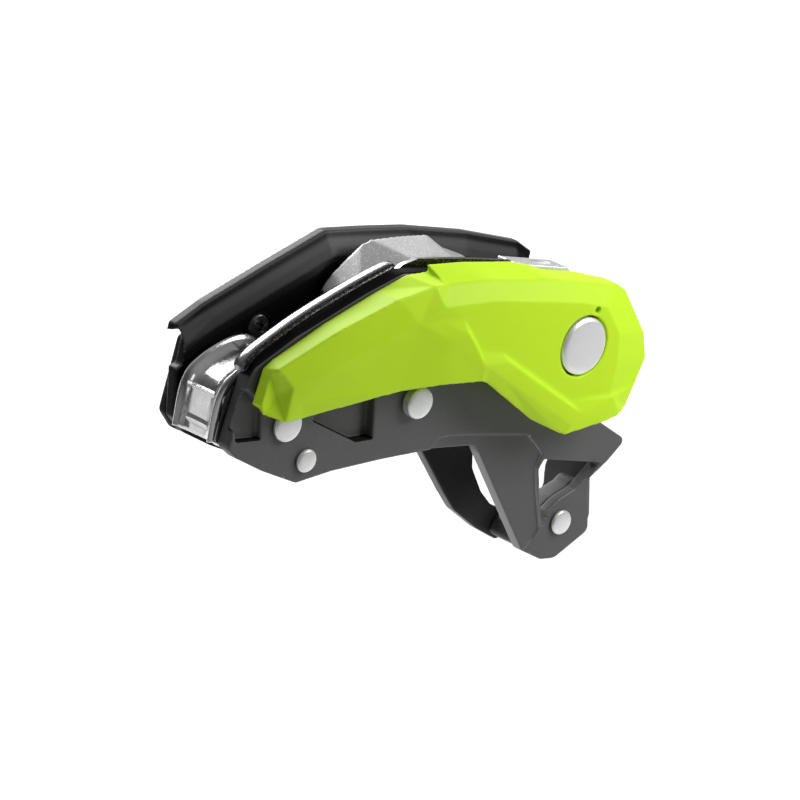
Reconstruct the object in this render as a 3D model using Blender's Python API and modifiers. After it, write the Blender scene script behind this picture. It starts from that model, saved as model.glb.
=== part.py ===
"""An assisted-braking belay device: a rope runs between two side plates and under a pivoting cam.

The near side plate carries the fixed pieces, the cam, the release handle and the thumb latch. The far
side plate is a cover that swings on the main axle. Drawings are in millimetres: x along the device, z up,
and y the depth from the near plate's outer face, positive towards the cover.
"""

import math

import bmesh
import bpy
from mathutils import Vector

MM = 0.001
MIDDLE = Vector((10.39, 6.65, -10.84))  # the middle of the whole device, which is its origin
GAP = 0.3  # clearance between touching pieces

# Depths of the layers, from the near side to the far side.
HANDLE_BACK_Y = -0.7
PLATE_Y = 4.0
LINER_Y = (4.3, 5.5)
CHANNEL_Y = (5.5, 16.5)
GUIDE_BACK_Y = 17.7
CAM_Y = (6.5, 15.8)
COVER_Y = (18.0, 21.0)
SHELL_Y = (21.3, 24.2)

# The main axle, on which the cam, the handle and the cover all turn.
AXLE = (47.1, 2.4)
AXLE_R = 4.0
BUSH_R = 5.3
DISC_R = 6.8
DISC_Y = (-10.6, -8.6)
AXLE_END_Y = 20.7
RETAINER_R = 6.0
RETAINER_Y = (19.9, 20.6)
CAM_WASHER_R = 5.6
COVER_WASHER_R = 7.0

# Rivets: centre, head radius and head height.
GUIDE_RIVETS = {"upper": (-33.3, 4.3, 3.8, 1.2), "lower": (-28.0, -5.9, 2.7, 1.0)}
SHOE_RIVET = (4.2, -1.4, 3.7, 2.4)
CROSSBAR_RIVET = (51.0, -47.2, 3.0, 1.0)
SHANK_R = 1.6

# Depths that reach past the near plate, past the pieces between the plates, and past the cover.
THROUGH_PLATE = (-2.0, 6.0)
THROUGH_BODY = (2.0, 20.0)
THROUGH_COVER = (10.0, 30.0)
# How many sides the round shapes have.
ROUND_SIDES = 48
SMALL_SIDES = 16
PIN_SIDES = 12

SCREWS = {"left": (-25.2, 19.1), "right": (58.5, -13.0), "lower": (-14.0, -5.5)}
SCREW_R = 2.9

LATCH_TILT = math.radians(-19.6)  # the latch's top face falls away from the cam


def clear_scene():
    for obj in list(bpy.data.objects):
        bpy.data.objects.remove(obj, do_unlink=True)


def new_collection(name, hidden=False):
    made = bpy.data.collections.new(name)
    made.hide_render = hidden
    bpy.context.scene.collection.children.link(made)
    return made


def at(x, y, z):
    """A drawing point, in metres from the device's origin."""
    return (Vector((x, y, z)) - MIDDLE) * MM


def material(name, colour, metallic, roughness):
    made = bpy.data.materials.new(name)
    made.use_nodes = True
    made.diffuse_color = (*colour, 1.0)
    shader = made.node_tree.nodes["Principled BSDF"]
    shader.inputs["Base Color"].default_value = (*colour, 1.0)
    shader.inputs["Metallic"].default_value = metallic
    shader.inputs["Roughness"].default_value = roughness
    return made


FINISHES = {
    "anodised": ((0.075, 0.075, 0.078), 0.4, 0.5),
    "polished": ((0.75, 0.75, 0.76), 1.0, 0.12),
    "satin": ((0.55, 0.55, 0.56), 1.0, 0.32),
    "green": ((0.55, 0.85, 0.03), 0.0, 0.42),
    "black": ((0.025, 0.025, 0.027), 0.0, 0.55),
    "spring": ((0.35, 0.35, 0.37), 1.0, 0.3),
    "bronze": ((0.45, 0.30, 0.14), 1.0, 0.35),
    "screw": ((0.06, 0.06, 0.065), 0.9, 0.35),
}


# Shapes. A piece's finish puts it among the parts; with no finish it is a cutter or an addition.


def place(name, mesh, finish, location=(0.0, 0.0, 0.0)):
    obj = bpy.data.objects.new(name, mesh)
    obj.location = location
    if finish:
        mesh.materials.append(material(name, *FINISHES[finish]))
        PARTS.objects.link(obj)
    else:
        obj.hide_render = True
        obj.display_type = "WIRE"
        CUTTERS.objects.link(obj)
    return obj


def mesh_of(bm, name):
    bmesh.ops.recalc_face_normals(bm, faces=bm.faces)
    mesh = bpy.data.meshes.new(name)
    bm.to_mesh(mesh)
    bm.free()
    mesh.shade_smooth()
    mesh.set_sharp_from_angle(angle=math.radians(30))
    return mesh


def rounded(corners, steps=3):
    """The outline through these corners; a corner with a third value is rounded to that radius."""
    outline = []
    for i, corner in enumerate(corners):
        here = Vector(corner[:2])
        if len(corner) < 3:
            outline.append(here)
            continue
        before = (Vector(corners[i - 1][:2]) - here).normalized()
        after = (Vector(corners[(i + 1) % len(corners)][:2]) - here).normalized()
        half = before.angle(after) / 2
        reach = corner[2] / math.tan(half)
        centre = here + (before + after).normalized() * corner[2] / math.sin(half)
        start, end = here + before * reach - centre, here + after * reach - centre
        turn = start.angle_signed(end)
        for k in range(steps + 1):
            angle = -turn * k / steps
            c, s = math.cos(angle), math.sin(angle)
            outline.append(centre + Vector((start.x * c - start.y * s, start.x * s + start.y * c)))
    return outline


def prism(name, finish, corners, y0, y1, pivot=(0.0, 0.0), bevel=0.0):
    """A flat outline in x and z, extruded from depth y0 to y1, with its origin on pivot."""
    curve = bpy.data.curves.new(name, "CURVE")
    curve.dimensions = "2D"
    curve.fill_mode = "BOTH"
    curve.extrude = (y1 - y0) / 2 * MM
    outline = rounded(corners)
    spline = curve.splines.new("POLY")
    spline.points.add(len(outline) - 1)
    spline.use_cyclic_u = True
    for point, (x, z) in zip(spline.points, outline):
        point.co = ((x - pivot[0]) * MM, (z - pivot[1]) * MM, 0.0, 1.0)
    drawn = bpy.data.objects.new(name, curve)
    CUTTERS.objects.link(drawn)
    drawn.rotation_euler = (math.radians(90), 0.0, 0.0)
    drawn.location = at(pivot[0], (y0 + y1) / 2, pivot[1])
    bpy.context.view_layer.update()
    graph = bpy.context.evaluated_depsgraph_get()
    mesh = bpy.data.meshes.new_from_object(drawn.evaluated_get(graph))
    matrix = drawn.matrix_world.copy()
    bpy.data.objects.remove(drawn, do_unlink=True)
    bm = bmesh.new()
    bm.from_mesh(mesh)
    bpy.data.meshes.remove(mesh)
    bmesh.ops.remove_doubles(bm, verts=bm.verts, dist=1e-6)
    bmesh.ops.dissolve_limit(bm, angle_limit=0.01, verts=bm.verts, edges=bm.edges)
    obj = place(name, mesh_of(bm, name), finish)
    obj.matrix_world = matrix
    if bevel:
        soften(obj, bevel)
    return obj


def weld(obj):
    """Makes one point of those that a Boolean leaves side by side."""
    modifier = obj.modifiers.new("weld", "WELD")
    modifier.merge_threshold = 0.005 * MM


def soften(obj, width, angle=40.0):
    modifier = obj.modifiers.new("edges", "BEVEL")
    modifier.width = width * MM
    modifier.segments = 1
    modifier.limit_method = "ANGLE"
    modifier.angle_limit = math.radians(angle)


def turned(name, finish, centre, profile, steps=28):
    """A profile of (radius, depth) points, listed from the near end to the far end, turned about y."""
    bm = bmesh.new()
    verts = [bm.verts.new((radius * MM, 0.0, -depth * MM)) for radius, depth in profile]
    for a, b in zip(verts, verts[1:]):
        bm.edges.new((a, b))
    if profile[0][0] > 0:
        bm.edges.new((verts[-1], verts[0]))
    mesh = bpy.data.meshes.new(name)
    bm.to_mesh(mesh)
    bm.free()
    obj = place(name, mesh, finish, at(centre[0], 0.0, centre[1]))
    obj.rotation_euler = (math.radians(90), 0.0, 0.0)
    screw = obj.modifiers.new("turn", "SCREW")
    screw.steps = screw.render_steps = steps
    screw.use_merge_vertices = True
    screw.merge_threshold = 1e-6
    screw.use_smooth_shade = True
    return obj


def rod(name, finish, centre, radius, y0, y1, sides=28):
    return turned(name, finish, centre, [(0, y0), (radius, y0), (radius, y1), (0, y1)], sides)


def ring(name, finish, centre, inner, outer, y0, y1, sides=28):
    profile = [(inner, y0), (outer, y0), (outer, y1), (inner, y1)]
    return turned(name, finish, centre, profile, sides)


def rivet(name, centre_and_head, y_head, y_end):
    """A rivet with a low domed head standing on depth y_head, and a shank to y_end."""
    x, z, radius, height = centre_and_head
    top = y_head - height
    profile = [(0, top), (radius * 0.7, top + 0.08), (radius - 0.25, top + 0.25), (radius, top + 0.6)]
    profile += [(radius, y_head), (SHANK_R, y_head), (SHANK_R, y_end), (0, y_end)]
    return turned(name, "satin", (x, z), profile)


def boolean(obj, operation, others):
    for other in others:
        modifier = obj.modifiers.new(other.name, "BOOLEAN")
        modifier.operation = operation
        modifier.object = other
        modifier.solver = "EXACT"
    return obj


def cut(obj, *others):
    return boolean(obj, "DIFFERENCE", others)


def join(obj, *others):
    return boolean(obj, "UNION", others)


def beside(line, offset, first=None):
    """An open line moved sideways, to its left, by this much; first is the way that its first point moves."""
    moved = []
    for i, (x, z) in enumerate(line):
        before = Vector(line[max(i - 1, 0)])
        after = Vector(line[min(i + 1, len(line) - 1)])
        run = (after - before).normalized()
        out = first if first and i == 0 else Vector((-run.y, run.x))
        moved.append((x + out.x * offset, z + out.y * offset))
    return moved


def loft(name, finish, rings, pivot=(0.0, 0.0)):
    """A skin through rings of (x, z, y) points, as many in each ring; its origin is on pivot."""
    bm = bmesh.new()
    origin = at(pivot[0], 0.0, pivot[1])
    rows = [[bm.verts.new(at(x, y, z) - origin) for x, z, y in points] for points in rings]
    count = len(rows[0])
    for lower, upper in zip(rows, rows[1:]):
        for i in range(count):
            j = (i + 1) % count
            bm.faces.new((lower[i], lower[j], upper[j], upper[i]))
    bm.faces.new(rows[0])
    bm.faces.new(rows[-1])
    return place(name, mesh_of(bm, name), finish, origin)


def carried(line, section, first=None):
    """Rings of a section of (offset, depth) points carried along an open line."""
    sides = [[(x, z, depth) for x, z in beside(line, offset, first)] for offset, depth in section]
    return list(zip(*sides))


def coil(name, centre, radius, wire, y0, y1, turns):
    """A round spring about y, from a helix whose points a loop works out."""
    sides = 12
    count = int(turns * sides) + 1
    curve = bpy.data.curves.new(name, "CURVE")
    curve.dimensions = "3D"
    curve.bevel_depth = wire / 2 * MM
    curve.bevel_resolution = 1
    curve.use_fill_caps = True
    spline = curve.splines.new("POLY")
    spline.points.add(count - 1)
    for i, point in enumerate(spline.points):
        angle = 2 * math.pi * i / sides
        depth = y0 + (y1 - y0) * i / (count - 1)
        spot = at(centre[0] + radius * math.cos(angle), depth, centre[1] + radius * math.sin(angle))
        point.co = (*spot, 1.0)
    obj = bpy.data.objects.new(name, curve)
    curve.materials.append(material(name, *FINISHES["spring"]))
    PARTS.objects.link(obj)
    return obj


# The fixed pieces.

NEAR_OUTLINE = [
    (-49.7, 3.3, 1.2), (-46.8, 10.2), (-43.1, 18.6), (-41.6, 20.5, 1.5), (-30, 24.3), (-10, 28.7),
    (1, 30.4, 2), (10, 28.2), (30, 22.3), (46, 16.6), (58.5, 11.5, 6), (66.5, -1, 6), (66.2, -10, 6),
    (61.5, -23.8, 2), (71.3, -32, 1.3), (60.5, -39, 1), (60.5, -52.6, 2), (49.5, -56.3, 3),
    (45.2, -55.2, 1), (38.4, -50.4, 1), (23.6, -18.8, 3), (10, -15.4), (-5, -13.1), (-20, -11.3),
    (-30.4, -10.9, 2), (-39.9, -5), (-47, 0.2),
]
TRIANGLE_HOLE = [
    (44.8, -28.8, 0.8), (63.6, -35.6, 0.5), (56.1, -40.4), (50.6, -41.5), (46.9, -43.2), (44.2, -46.6, 0.5),
    (43.4, -36), (43.2, -30.8),
]
LEG_STEP = [
    (9.5, -17), (9.6, -15), (11.8, -13.2), (15, -13.5), (25, -16.4), (39.4, -20.8), (42.2, -24.2),
    (44.2, -27.2), (42.4, -30), (42.6, -36), (43.8, -46.4), (38.6, -52), (20, -22),
]
LUG_STEP = [
    (38.0, -51.4), (44.3, -46.8), (47.2, -43.0), (50.7, -41.2), (56.2, -40.0), (64.6, -36), (68, -37),
    (66, -58), (44, -58),
]
LEG_DEPTH = 0.7
LUG_DEPTH = 1.2
POCKET_DEPTH = 2.6
RECESS_DEPTH = 1.6
POCKET = [(-25.5, 2.7), (-13.2, -6.1), (-8.1, -7), (-7.1, 6), (-24, 8)]
FINGER_RECESS = [(-48, 8), (-47.4, 4.4), (-40.5, 2.9), (-40.0, 12), (-44, 16)]


def near_side():
    plate = prism("near_side_plate", "anodised", NEAR_OUTLINE, 0, PLATE_Y, bevel=0.35)
    cutters = [
        prism("triangle_hole", None, TRIANGLE_HOLE, *THROUGH_PLATE),
        prism("leg_step", None, LEG_STEP, THROUGH_PLATE[0], LEG_DEPTH),
        prism("lug_step", None, LUG_STEP, THROUGH_PLATE[0], LUG_DEPTH),
        prism("pocket", None, POCKET, THROUGH_PLATE[0], POCKET_DEPTH),
        prism("finger_recess", None, FINGER_RECESS, THROUGH_PLATE[0], RECESS_DEPTH),
        rod("near_axle_hole", None, AXLE, AXLE_R + GAP, *THROUGH_PLATE),
        rod("near_latch_pin_hole", None, LATCH_PIN, LATCH_PIN_R + GAP, *THROUGH_PLATE, PIN_SIDES),
    ]
    rivets = {**GUIDE_RIVETS, "shoe": SHOE_RIVET, "crossbar": CROSSBAR_RIVET}
    for key, (x, z, _, _) in rivets.items():
        hole = rod(f"near_rivet_hole_{key}", None, (x, z), SHANK_R + GAP, *THROUGH_PLATE, SMALL_SIDES)
        cutters.append(hole)
    cut(plate, *cutters)


GUIDE_CHEEK = [
    (-50.3, 3.4, 1.5), (-47.4, 13.6), (-43.2, 16.9), (-35, 19.0), (-29.5, 18.0, 3), (-25.2, 13.2),
    (-21.5, 4), (-22.5, -9.6), (-31, -9.8), (-39.6, -4.2), (-47, 1.1),
]
# The saddle's middle line, from the foot of the nose over the crest to the inner end.
SADDLE_LINE = [
    (-49.4, 3.4), (-46.7, 13.0), (-42.6, 16.2), (-35, 17.9), (-29.8, 16.9), (-26.2, 12.6), (-23, 4),
]
SADDLE_DIP = 1.6
SADDLE_WALL = 1.5
# The two ribs across the nose: where they stand, and their section.
GUIDE_RIBS = [(-48.0, 6.8), (-46.9, 11.0)]
GUIDE_RIB_SECTION = [(-0.2, -0.9), (2.2, -0.5), (2.6, 0.9), (0.2, 0.7)]
GUIDE_RIB_INSET = 1.2


def saddle():
    """The rope's bearing surface: a strip over the nose, hollowed across its width."""
    bm = bmesh.new()
    y0, y1 = CHANNEL_Y[0] - 0.5, CHANNEL_Y[1] + 0.5
    across = 7
    columns = []
    for k in range(across):
        share = 2 * k / (across - 1) - 1
        depth = y0 + (y1 - y0) * k / (across - 1)
        line = beside(SADDLE_LINE, -SADDLE_DIP * (1 - share * share))
        columns.append([bm.verts.new(at(x, depth, z)) for x, z in line])
    for near, far in zip(columns, columns[1:]):
        for i in range(len(SADDLE_LINE) - 1):
            bm.faces.new((near[i], far[i], far[i + 1], near[i + 1]))
    mesh = bpy.data.meshes.new("saddle")
    bm.to_mesh(mesh)
    bm.free()
    obj = place("saddle", mesh, None)
    wall = obj.modifiers.new("wall", "SOLIDIFY")
    wall.thickness = SADDLE_WALL * MM
    wall.offset = -1.0
    return obj


def rope_guide():
    guide = prism("rope_guide", "polished", GUIDE_CHEEK, *LINER_Y, bevel=0.3)
    far_cheek = prism("guide_far_cheek", None, GUIDE_CHEEK, CHANNEL_Y[1], GUIDE_BACK_Y, bevel=0.3)
    join(guide, far_cheek, saddle())
    y0, y1 = CHANNEL_Y[0] + GUIDE_RIB_INSET, CHANNEL_Y[1] - GUIDE_RIB_INSET
    for i, (x, z) in enumerate(GUIDE_RIBS):
        rib = [(x + dx, z + dz) for dx, dz in GUIDE_RIB_SECTION]
        join(guide, prism(f"guide_rib_{i + 1}", None, rib, y0, y1))
    for key, (x, z, _, _) in GUIDE_RIVETS.items():
        cut(guide, rod(f"guide_rivet_hole_{key}", None, (x, z), SHANK_R + GAP, *THROUGH_BODY, SMALL_SIDES))
    for key, (x, z, radius, height) in GUIDE_RIVETS.items():
        rivet(f"guide_rivet_{key}", (x, z, radius, height), -GAP, GUIDE_BACK_Y)


LINER_PATH = [
    (-44.6, 19.6), (-43.4, 21.2), (-41.2, 22.9), (-38, 24.1), (-28, 27.2), (-17, 29.7), (-8, 31.5),
    (0.4, 32.6),
]
# The bead's section: offset from its path and depth.
LINER_SECTION = [
    (0.0, 3.1), (-0.3, 1.9), (-0.9, 1.2), (-1.4, 1.1), (-1.5, 4.3), (-2.6, 4.35), (-2.6, 5.5), (-1.0, 5.5),
    (-0.3, 4.8),
]


def edge_liner():
    """The polished bead that tops the near plate where the rope runs over it."""
    loft("edge_liner", "polished", carried(LINER_PATH, LINER_SECTION))


WEAR_OUTLINE = [
    (2.6, 28.9), (4.6, 29.9), (9.4, 30.1), (24.4, 25.9), (37.6, 21.7), (37.6, 16.2), (42, 13.8), (48, 10.4),
    (56, 7.6), (60.5, 0), (58, -9, 4), (44, -12.5, 4), (20, -9), (-4, -9.5), (-4.5, 12), (1.8, 22),
]


def wear_plate():
    plate = prism("inner_wear_plate", "polished", WEAR_OUTLINE, *LINER_Y)
    cut(
        plate,
        rod("wear_axle_hole", None, AXLE, AXLE_R + GAP, *THROUGH_BODY),
        rod("wear_shoe_hole", None, SHOE_RIVET[:2], SHANK_R + GAP, *THROUGH_BODY, SMALL_SIDES),
        rod("wear_stop_hole", None, STOP_PIN, STOP_PIN_R + GAP, *THROUGH_BODY, PIN_SIDES),
    )


SHOE_OUTLINE = [
    (-6.5, -10.6, 1), (-7, -3), (-3.5, 2.3, 3), (4, 3.8, 6), (11.5, 2.0, 3), (14.5, -4), (13, -11.2, 1),
]


def brake_shoe():
    """The fixed steel block that the cam squeezes the rope against."""
    shoe = prism("brake_shoe", "polished", SHOE_OUTLINE, CHANNEL_Y[0] + GAP, CHANNEL_Y[1], bevel=0.5)
    cut(shoe, rod("shoe_hole", None, SHOE_RIVET[:2], SHANK_R + GAP, *THROUGH_BODY, SMALL_SIDES))
    rivet("shoe_rivet", SHOE_RIVET, -GAP, CHANNEL_Y[1] - GAP)


CROSSBAR_OUTLINE = [
    (43.4, -53.2, 1.2), (45.8, -49.9, 1.5), (57.2, -49.9, 2), (61.2, -46.8, 2), (61.6, -42.0, 2),
    (64.0, -37.2), (66.3, -35.6), (67.3, -35.9), (64.0, -40.4), (64.0, -51.6, 2), (60.4, -54.2, 1.5),
    (49, -56.1), (46.3, -55.6),
]
# The flange that stands up behind the near plate's lug, and carries the rivet.
FLANGE_OUTLINE = [
    (44.8, -50.6), (45.3, -46.4), (47.6, -43.8), (51.0, -42.1, 2), (56.6, -41.0, 2), (59.6, -39.4, 2),
    (62.0, -42.5), (62.0, -50.6),
]
FLANGE_Y = 9.6
CROSSBAR_HOLE_END_Y = 9.0


def crossbar():
    bar = prism("crossbar", "anodised", CROSSBAR_OUTLINE, PLATE_Y + GAP, GUIDE_BACK_Y)
    join(bar, prism("crossbar_flange", None, FLANGE_OUTLINE, PLATE_Y + GAP, FLANGE_Y))
    weld(bar)
    soften(bar, 0.4)
    hole = rod("crossbar_hole", None, CROSSBAR_RIVET[:2], SHANK_R + GAP, 2, CROSSBAR_HOLE_END_Y, SMALL_SIDES)
    cut(bar, hole)
    weld(bar)
    x, z, radius, height = CROSSBAR_RIVET
    rivet("crossbar_rivet", (x, z, radius, height), LUG_DEPTH - GAP, CROSSBAR_HOLE_END_Y - GAP)


def axle():
    top, under = DISC_Y
    profile = [(0, top), (DISC_R - 1.1, top), (DISC_R - 0.4, top + 0.25), (DISC_R, top + 0.7)]
    profile += [(DISC_R, under), (AXLE_R, under), (AXLE_R, AXLE_END_Y), (0, AXLE_END_Y)]
    turned("main_axle", "satin", AXLE, profile, ROUND_SIDES)
    ring("axle_retaining_ring", "spring", AXLE, AXLE_R + 0.05, RETAINER_R, *RETAINER_Y)
    ring("cam_washer", "bronze", AXLE, AXLE_R + GAP, CAM_WASHER_R, LINER_Y[1] + 0.2, CAM_Y[0] - 0.2)
    ring("cover_washer", "bronze", AXLE, AXLE_R + GAP, COVER_WASHER_R, CAM_Y[1] + GAP, COVER_Y[0] - GAP)


# The cam.

# The cam's outline on its near and far faces: its top falls towards the near side.
CAM_TAIL = [
    (39.5, 13.2, 4), (47, 10.7, 4), (53, 8.4, 4), (55.4, 2, 4), (53, -3.6, 4), (46, -5.6, 4), (39.5, -2, 4),
    (30, 7, 6), (12, 14.6), (-2, 18.6, 4),
]
CAM_FAR = [
    (-9.8, 24.2, 0.8), (-6.2, 27.4), (2.6, 31.9), (5.4, 32.3, 1.5), (14.2, 30.7), (22.0, 28.9, 1.6),
    (26.6, 24.6), (32.6, 21.2), (35.8, 18.2),
]
CAM_NEAR = [
    (-9.4, 23.0, 0.8), (-6.2, 25.2), (2.6, 27.6), (10.0, 28.9, 1.5), (15.4, 28.0), (22.0, 26.0, 1.6),
    (26.0, 23.2), (32.0, 19.4), (35.8, 16.8),
]
# The stop pin runs in a slot in the cam's near face, curved about the axle.
STOP_PIN = (36.2, 12.0)
STOP_PIN_R = 1.2
STOP_PIN_END_Y = 9.0
SLOT_HALF_WIDTH = 1.8
SLOT_END_Y = 9.4
SLOT_STEP = math.radians(3.6)
SLOT_STEPS = 4
CAM_SPRING = {"radius": 6.3, "wire": 0.7, "y0": 7.2, "y1": 9.0, "turns": 2.0}
CAM_WELL = {"radius": 7.0, "y0": 4.0, "y1": 9.6}


def cam_group():
    faces = [[(x, z, y) for x, z in rounded(top + CAM_TAIL)] for top, y in zip((CAM_NEAR, CAM_FAR), CAM_Y)]
    cam = loft("cam", "satin", faces, pivot=AXLE)
    reach = Vector(STOP_PIN) - Vector(AXLE)
    middle = math.atan2(reach.y, reach.x)
    slot = []
    for edge, direction in ((SLOT_HALF_WIDTH, 1), (-SLOT_HALF_WIDTH, -1)):
        for k in range(-SLOT_STEPS, SLOT_STEPS + 1):
            angle = middle + direction * SLOT_STEP * k
            spot = Vector(AXLE) + Vector((math.cos(angle), math.sin(angle))) * (reach.length + edge)
            slot.append((spot.x, spot.y))
    cut(
        cam,
        rod("cam_bore", None, AXLE, BUSH_R + GAP, *THROUGH_BODY),
        rod("cam_spring_well", None, AXLE, **CAM_WELL),
        prism("cam_stop_slot", None, slot, THROUGH_BODY[0], SLOT_END_Y),
    )
    ring("cam_bush", "bronze", AXLE, AXLE_R + GAP, BUSH_R, CAM_Y[0] + 0.2, CAM_Y[1] - 0.2)
    coil("cam_return_spring", AXLE, **CAM_SPRING)
    rod("cam_stop_pin", "spring", STOP_PIN, STOP_PIN_R, LINER_Y[0], STOP_PIN_END_Y, SMALL_SIDES)


# The release handle: a moulded shell of flat facets, over a metal core.

# The handle's rim, clockwise from the arm's tip: (x, z) on the open back, then (x, z, height) where the wall
# meets the facets. Heights are measured from the near plate's outer face.
HANDLE_RIM = [
    ((-40.4, 20.1), (-40.2, 19.9, 3.5)),
    ((-37.8, 21.4), (-39.6, 20.9, 5.4)),
    ((-22.6, 25.7), (-23.4, 25.8, 7.0)),
    ((-7.5, 28.9), (-7.4, 28.9, 8.2)),
    ((1.0, 30.3), (3.5, 29.1, 8.2)),
    ((7.6, 29.3), (7.1, 28.2, 7.4)),
    ((7.1, 31.1), (8.0, 27.9, 7.2)),
    ((17.4, 28.9), (20.3, 25.5, 7.2)),
    ((32.0, 24.9), (35.6, 21.2, 7.2)),
    ((38.0, 22.4), (38.5, 20.6, 7.2)),
    ((42.0, 20.1), (41.8, 19.5, 7.2)),
    ((51.9, 16.8), (50.8, 16.3, 7.2)),
    ((58.6, 13.8), (57.0, 14.1, 7.2)),
    ((61.8, 12.4), (60.3, 13.1, 7.0)),
    ((64.4, 10.4), (63.1, 10.8, 7.0)),
    ((69.8, -1.8), (69.4, -1.8, 7.0)),
    ((70.3, -8.2), (70.0, -8.2, 7.0)),
    ((66.0, -13.4), (65.7, -13.1, 8.0)),
    ((61.6, -16.6), (62.1, -17.7, 8.5)),
    ((58.8, -17.4), (58.8, -18.1, 10.2)),
    ((55.0, -17.2), (54.2, -18.3, 10.6)),
    ((44.0, -16.4), (41.0, -17.7, 10.6)),
    ((42.5, -15.6), (39.5, -17.0, 10.0)),
    ((34.6, -9.6), (31.4, -11.4, 9.2)),
    ((20.6, 3.4), (17.1, 2.2, 10.0)),
    ((17.6, 4.4), (15.3, 3.2, 10.3)),
    ((5.6, 6.4), (4.7, 5.2, 9.2)),
    ((-6.5, 7.8), (-6.8, 6.5, 7.5)),
    ((-31.5, 8.6), (-32.1, 7.0, 4.8)),
    ((-37.0, 9.2), (-37.5, 7.5, 4.8)),
    ((-41.4, 10.6), (-42.2, 10.2, 3.0)),
    ((-43.6, 12.6), (-42.8, 12.6, 3.2)),
]
# The corners of the facets inside the rim.
HANDLE_CORNERS = {
    "scoop": (-38.3, 13.3, 2.8),
    "rib": (-35.8, 15.8, 5.8),
    "ridge_1": (-27.3, 17.2, 7.0),
    "ridge_2": (-15.3, 20.0, 8.0),
    "ridge_3": (-2.5, 22.2, 9.3),
    "valley_1": (-33.4, 11.6, 5.6),
    "valley_2": (-16.0, 12.8, 7.1),
    "ledge_1": (3.3, 21.2, 9.7),
    "ledge_2": (9.9, 19.9, 10.0),
    "ledge_3": (11.5, 15.8, 10.9),
    "ledge_4": (6.2, 16.0, 10.3),
    "panel_1": (4.7, 24.2, 10.0),
    "panel_2": (20.0, 21.4, 10.0),
    "panel_3": (39.2, 15.6, 10.0),
    "panel_4": (48.1, 12.7, 10.0),
    "panel_5": (54.3, 10.0, 10.0),
    "panel_6": (58.4, 2.2, 10.0),
    "panel_7": (57.8, -5.2, 10.0),
    "panel_8": (55.7, -11.9, 10.0),
    "panel_9": (42.5, -9.7, 10.0),
    "panel_10": (21.1, 8.8, 10.0),
    "panel_11": (14.9, 10.6, 10.0),
    "panel_12": (12.6, 15.2, 10.0),
    "crest_1": (14.1, 11.4, 10.9),
    "crest_2": (16.1, 7.1, 10.9),
    "crest_3": (24.1, 5.3, 10.9),
    "crest_4": (46.1, -13.8, 10.9),
    "crest_5": (56.2, -12.9, 10.6),
    "flank_1": (22.1, 1.9, 10.7),
    "flank_2": (42.6, -15.6, 10.8),
}
# The facets, as the names of corners and the places of rim points in their list.
HANDLE_FACETS = [
    # the thumb scoop at the arm's tip
    (0, 1, "scoop"), (1, "rib", "scoop"), ("rib", 29, "scoop"), (29, 30, "scoop"), (30, 31, "scoop"),
    (31, 0, "scoop"),
    # the arm, above its ridge and below it
    (1, 2, "ridge_1", "rib"), (2, 3, "ridge_2", "ridge_1"), (3, 4, "ridge_3", "ridge_2"),
    ("rib", "ridge_1", "valley_1"), ("rib", "valley_1", 29), ("valley_1", 28, 29),
    ("ridge_1", "ridge_2", "valley_2"), ("ridge_1", "valley_2", "valley_1"),
    ("valley_1", "valley_2", 27, 28), ("valley_2", "ridge_2", "ridge_3"),
    ("valley_2", "ridge_3", 27), ("ridge_3", 26, 27), ("ridge_3", "ledge_4", 26), ("ledge_4", 25, 26),
    # the ledge where the arm meets the hub
    ("ridge_3", 4, "panel_1"), ("ridge_3", "panel_1", "ledge_1"), ("ridge_3", "ledge_1", "ledge_4"),
    ("panel_1", "ledge_2", "ledge_1"), ("ledge_1", "ledge_2", "ledge_3", "ledge_4"),
    ("ledge_2", "panel_12", "ledge_3"), ("panel_12", "panel_11", "crest_1", "ledge_3"),
    ("ledge_4", "ledge_3", "crest_1"), ("ledge_4", "crest_1", "crest_2"), ("ledge_4", "crest_2", 25),
    # the bright chamfer along the hub's top
    (4, 5, "panel_1"), (5, 6, "panel_1"), (6, 7, "panel_2", "panel_1"), (7, 8, "panel_3", "panel_2"),
    (8, 9, "panel_3"), (9, 10, "panel_3"), (10, 11, "panel_4", "panel_3"), (11, 12, "panel_5", "panel_4"),
    (12, 13, "panel_5"),
    # the hub's end
    (13, 14, "panel_5"), (14, 15, "panel_6", "panel_5"), (15, 16, "panel_7", "panel_6"),
    (16, 17, "panel_8", "panel_7"), (17, 18, "crest_5", "panel_8"), (18, 19, "crest_5"), (19, 20, "crest_5"),
    # the raised border along the hub's lower edge, with its ramp down to the panel
    ("panel_9", "panel_8", "crest_5", "crest_4"), ("panel_10", "panel_9", "crest_4", "crest_3"),
    ("panel_11", "panel_10", "crest_3", "crest_2"), ("panel_11", "crest_2", "crest_1"),
    ("crest_4", "crest_5", 20, 21), ("crest_4", 21, "flank_2"), ("crest_3", "crest_4", "flank_2", "flank_1"),
    ("crest_2", "crest_3", "flank_1"), ("crest_2", "flank_1", 24, 25),
    ("flank_1", 23, 24), ("flank_1", "flank_2", 22, 23), ("flank_2", 21, 22),
    # the sunk panel round the axle
    ("panel_1", "panel_2", "panel_3", "panel_4", "panel_5", "panel_6", "panel_7", "panel_8", "panel_9",
     "panel_10", "panel_11", "panel_12", "ledge_2"),
]
CORE_OUTLINE = [
    (-36, 12, 2), (-34, 18.5, 2), (5, 24.5), (47, 13.5, 8), (58.5, 2.9, 9), (47.3, -8.6, 9), (20, 6),
    (-10, 10),
]
CORE_FRONT_Y = -3.1
HANDLE_SPRING = {"radius": 7.4, "wire": 0.9, "y0": -6.6, "y1": -4.2, "turns": 2.5}
SPRING_ROOM = {"radius": 10.4, "y0": -7.4, "y1": 5.0}
DISC_CLEARANCE = 0.5
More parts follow.
